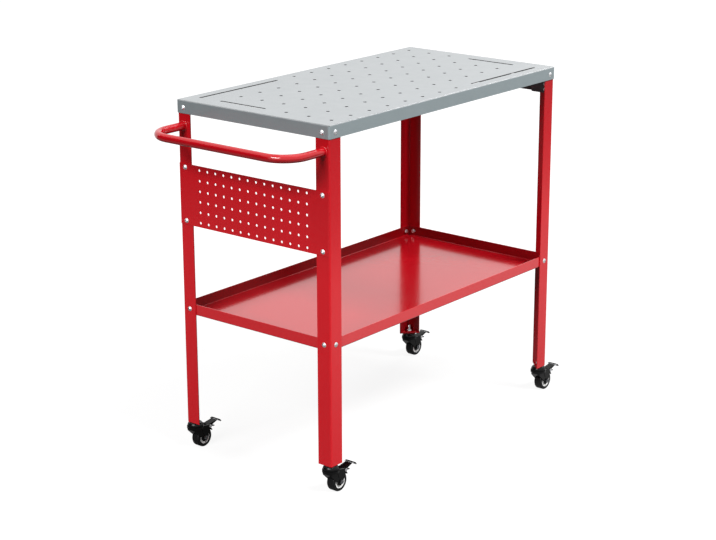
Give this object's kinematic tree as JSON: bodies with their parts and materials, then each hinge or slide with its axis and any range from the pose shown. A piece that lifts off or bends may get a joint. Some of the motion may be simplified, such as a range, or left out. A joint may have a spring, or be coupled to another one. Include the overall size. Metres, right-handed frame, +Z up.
{
  "type": "mobile welding table",
  "caption": "Mobile welding table with a perforated folded steel top on angle legs, a lower tray, a peg panel, a push handle and braked swivel casters.",
  "frame": {"origin": "on the floor, midway between the end of the handle and the tips of the far brake pedals, on the middle plane of the table's width", "axes": "+X along the table away from the handle, +Y from the front to the back, +Z up"},
  "size_m": [1.1085, 0.487, 0.897],
  "materials": {
    "top_steel": "satin",
    "red_powder": "gloss",
    "tray_red": "gloss",
    "brace_powder": "satin",
    "zinc": "bright",
    "head_black": "gloss",
    "ball_steel": "polished",
    "fork_black": "gloss",
    "hub_black": "satin",
    "core_white": "satin",
    "tyre_black": "matt",
    "pedal_black": "gloss"
  },
  "bodies": {
    "frame": {"table_top": "top_steel", "leg_front_left": "red_powder", "leg_rear_left": "red_powder", "leg_front_right": "red_powder", "leg_rear_right": "red_powder", "foot_plates": "red_powder", "end_brace": "brace_powder", "tray": "tray_red", "peg_panel": "red_powder", "handle": "red_powder", "top_screws": "zinc", "top_nuts": "zinc", "tray_screws": "zinc", "tray_nuts": "zinc", "panel_screws": "zinc", "panel_nuts": "zinc", "brace_screws": "zinc", "brace_nuts": "zinc", "stem_nuts": "zinc", "caster_fl_stem": "head_black", "caster_fl_balls": "ball_steel", "caster_rl_stem": "head_black", "caster_rl_balls": "ball_steel", "caster_fr_stem": "head_black", "caster_fr_balls": "ball_steel", "caster_rr_stem": "head_black", "caster_rr_balls": "ball_steel"},
    "swivel_fl": {"caster_fl_fork": "fork_black", "caster_fl_axle": "zinc", "caster_fl_pin": "zinc"},
    "wheel_fl": {"caster_fl_hub_caps": "hub_black", "caster_fl_core": "core_white", "caster_fl_tyre": "tyre_black"},
    "pedal_fl": {"caster_fl_pedal": "pedal_black"},
    "swivel_rl": {"caster_rl_fork": "fork_black", "caster_rl_axle": "zinc", "caster_rl_pin": "zinc"},
    "wheel_rl": {"caster_rl_hub_caps": "hub_black", "caster_rl_core": "core_white", "caster_rl_tyre": "tyre_black"},
    "pedal_rl": {"caster_rl_pedal": "pedal_black"},
    "swivel_fr": {"caster_fr_fork": "fork_black", "caster_fr_axle": "zinc", "caster_fr_pin": "zinc"},
    "wheel_fr": {"caster_fr_hub_caps": "hub_black", "caster_fr_core": "core_white", "caster_fr_tyre": "tyre_black"},
    "pedal_fr": {"caster_fr_pedal": "pedal_black"},
    "swivel_rr": {"caster_rr_fork": "fork_black", "caster_rr_axle": "zinc", "caster_rr_pin": "zinc"},
    "wheel_rr": {"caster_rr_hub_caps": "hub_black", "caster_rr_core": "core_white", "caster_rr_tyre": "tyre_black"},
    "pedal_rr": {"caster_rr_pedal": "pedal_black"}
  },
  "joints": [
    {"name": "swivel_fl_turn", "type": "hinge", "parent": "frame", "child": "swivel_fl", "pos_m": [-0.40875, -0.2225, 0.0565], "axis": [0, 0, 1], "continuous": true},
    {"name": "wheel_fl_roll", "type": "hinge", "parent": "swivel_fl", "child": "wheel_fl", "pos_m": [-0.38675, -0.2225, 0.025], "axis": [0, 1, 0], "continuous": true},
    {"name": "pedal_fl_press", "type": "hinge", "parent": "swivel_fl", "child": "pedal_fl", "pos_m": [-0.36882, -0.2225, 0.04967], "axis": [0, 1, 0], "range_deg": [0, 12]},
    {"name": "swivel_rl_turn", "type": "hinge", "parent": "frame", "child": "swivel_rl", "pos_m": [-0.40875, 0.2225, 0.0565], "axis": [0, 0, 1], "continuous": true},
    {"name": "wheel_rl_roll", "type": "hinge", "parent": "swivel_rl", "child": "wheel_rl", "pos_m": [-0.38675, 0.2225, 0.025], "axis": [0, 1, 0], "continuous": true},
    {"name": "pedal_rl_press", "type": "hinge", "parent": "swivel_rl", "child": "pedal_rl", "pos_m": [-0.36882, 0.2225, 0.04967], "axis": [0, 1, 0], "range_deg": [0, 12]},
    {"name": "swivel_fr_turn", "type": "hinge", "parent": "frame", "child": "swivel_fr", "pos_m": [0.47425, -0.2225, 0.0565], "axis": [0, 0, 1], "continuous": true},
    {"name": "wheel_fr_roll", "type": "hinge", "parent": "swivel_fr", "child": "wheel_fr", "pos_m": [0.49625, -0.2225, 0.025], "axis": [0, 1, 0], "continuous": true},
    {"name": "pedal_fr_press", "type": "hinge", "parent": "swivel_fr", "child": "pedal_fr", "pos_m": [0.51418, -0.2225, 0.04967], "axis": [0, 1, 0], "range_deg": [0, 12]},
    {"name": "swivel_rr_turn", "type": "hinge", "parent": "frame", "child": "swivel_rr", "pos_m": [0.47425, 0.2225, 0.0565], "axis": [0, 0, 1], "continuous": true},
    {"name": "wheel_rr_roll", "type": "hinge", "parent": "swivel_rr", "child": "wheel_rr", "pos_m": [0.49625, 0.2225, 0.025], "axis": [0, 1, 0], "continuous": true},
    {"name": "pedal_rr_press", "type": "hinge", "parent": "swivel_rr", "child": "pedal_rr", "pos_m": [0.51418, 0.2225, 0.04967], "axis": [0, 1, 0], "range_deg": [0, 12]}
  ]
}
